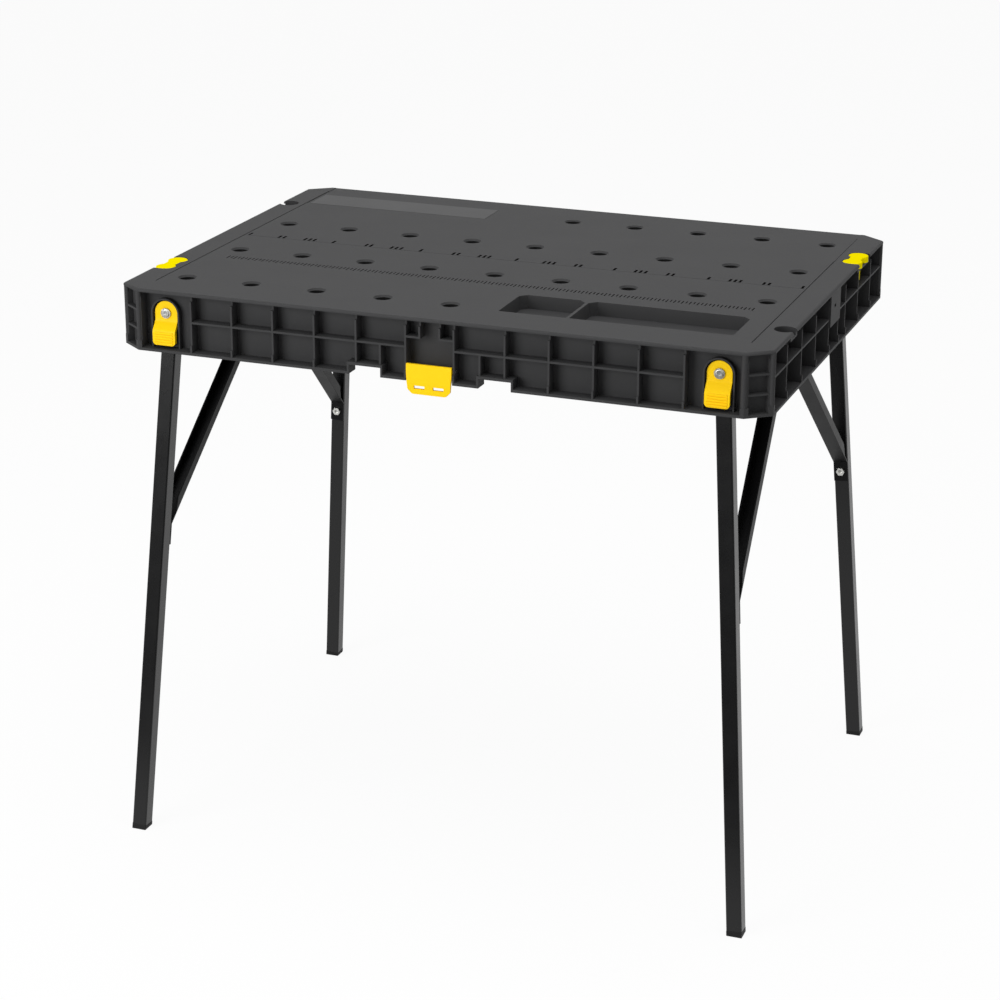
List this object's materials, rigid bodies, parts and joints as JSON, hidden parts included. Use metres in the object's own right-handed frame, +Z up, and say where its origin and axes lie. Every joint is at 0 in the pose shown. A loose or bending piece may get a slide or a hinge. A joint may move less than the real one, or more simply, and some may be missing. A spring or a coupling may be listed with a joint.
{
  "type": "folding workbench",
  "caption": "Folding workbench with a ribbed plastic top, dog holes, a parts tray, side connectors and splayed steel legs with braces that fold flat under the top.",
  "frame": {"origin": "on the floor, under the middle of the top", "axes": "+X to the right and +Y to the back, seen from the side with the tray; +Z up"},
  "size_m": [0.85, 0.658, 0.745],
  "materials": {
    "grey_plastic": "fine moulded grain",
    "black_paint": "semi-gloss",
    "black_plastic": "matte",
    "yellow_plastic": "satin",
    "zinc": "bright zinc"
  },
  "bodies": {
    "top": {"worktop": "grey_plastic", "lever_screws": "zinc", "leg_pivot_bolts": "zinc", "brace_pivot_bolts": "zinc", "brace_pivot_nuts": "zinc", "latch_pins": "zinc"},
    "front_left_leg": {"leg_front_left": "black_paint", "brace_front_left": "black_paint", "foot_cap_front_left": "black_plastic", "brace_bolt_front_left": "zinc"},
    "front_right_leg": {"leg_front_right": "black_paint", "brace_front_right": "black_paint", "foot_cap_front_right": "black_plastic", "brace_bolt_front_right": "zinc"},
    "back_left_leg": {"leg_back_left": "black_paint", "brace_back_left": "black_paint", "foot_cap_back_left": "black_plastic", "brace_bolt_back_left": "zinc"},
    "back_right_leg": {"leg_back_right": "black_paint", "brace_back_right": "black_paint", "foot_cap_back_right": "black_plastic", "brace_bolt_back_right": "zinc"},
    "front_left_lever": {"release_lever_front_left": "yellow_plastic"},
    "front_right_lever": {"release_lever_front_right": "yellow_plastic"},
    "back_left_lever": {"release_lever_back_left": "yellow_plastic"},
    "back_right_lever": {"release_lever_back_right": "yellow_plastic"},
    "front_latch": {"latch_front": "yellow_plastic"},
    "back_latch": {"latch_back": "yellow_plastic"},
    "left_connector": {"connector_left": "yellow_plastic"},
    "right_connector": {"connector_right": "yellow_plastic"}
  },
  "joints": [
    {"name": "front_left_leg_fold", "type": "hinge", "parent": "top", "child": "front_left_leg", "pos_m": [-0.36104, -0.26869, 0.7119], "axis": [0, -0.9975, 0.0705], "range_deg": [0, 94.2]},
    {"name": "front_right_leg_fold", "type": "hinge", "parent": "top", "child": "front_right_leg", "pos_m": [0.36265, -0.27023, 0.6901], "axis": [0, 0.9975, -0.0705], "range_deg": [0, 94.2]},
    {"name": "back_left_leg_fold", "type": "hinge", "parent": "top", "child": "back_left_leg", "pos_m": [-0.36104, 0.26869, 0.7119], "axis": [0, -0.9975, -0.0705], "range_deg": [0, 94.2]},
    {"name": "back_right_leg_fold", "type": "hinge", "parent": "top", "child": "back_right_leg", "pos_m": [0.36265, 0.27023, 0.6901], "axis": [0, 0.9975, 0.0705], "range_deg": [0, 94.2]},
    {"name": "front_left_lever_press", "type": "hinge", "parent": "top", "child": "front_left_lever", "pos_m": [-0.361, -0.289, 0.713], "axis": [1, 0, 0], "range_deg": [0, 6], "stiffness_Nm_per_rad": 0.4},
    {"name": "front_right_lever_press", "type": "hinge", "parent": "top", "child": "front_right_lever", "pos_m": [0.361, -0.289, 0.713], "axis": [1, 0, 0], "range_deg": [0, 6], "stiffness_Nm_per_rad": 0.4},
    {"name": "back_left_lever_press", "type": "hinge", "parent": "top", "child": "back_left_lever", "pos_m": [-0.361, 0.289, 0.713], "axis": [-1, 0, 0], "range_deg": [0, 6], "stiffness_Nm_per_rad": 0.4},
    {"name": "back_right_lever_press", "type": "hinge", "parent": "top", "child": "back_right_lever", "pos_m": [0.361, 0.289, 0.713], "axis": [-1, 0, 0], "range_deg": [0, 6], "stiffness_Nm_per_rad": 0.4},
    {"name": "front_latch_swing", "type": "hinge", "parent": "top", "child": "front_latch", "pos_m": [0, -0.296, 0.68], "axis": [1, 0, 0], "range_deg": [0, 90]},
    {"name": "back_latch_swing", "type": "hinge", "parent": "top", "child": "back_latch", "pos_m": [0, 0.296, 0.68], "axis": [-1, 0, 0], "range_deg": [0, 90]},
    {"name": "left_connector_turn", "type": "hinge", "parent": "top", "child": "left_connector", "pos_m": [-0.412, -0.19, 0.741], "axis": [0, 0, 1], "range_deg": [0, 90]},
    {"name": "right_connector_turn", "type": "hinge", "parent": "top", "child": "right_connector", "pos_m": [0.412, 0.19, 0.741], "axis": [0, 0, 1], "range_deg": [0, 90]}
  ]
}
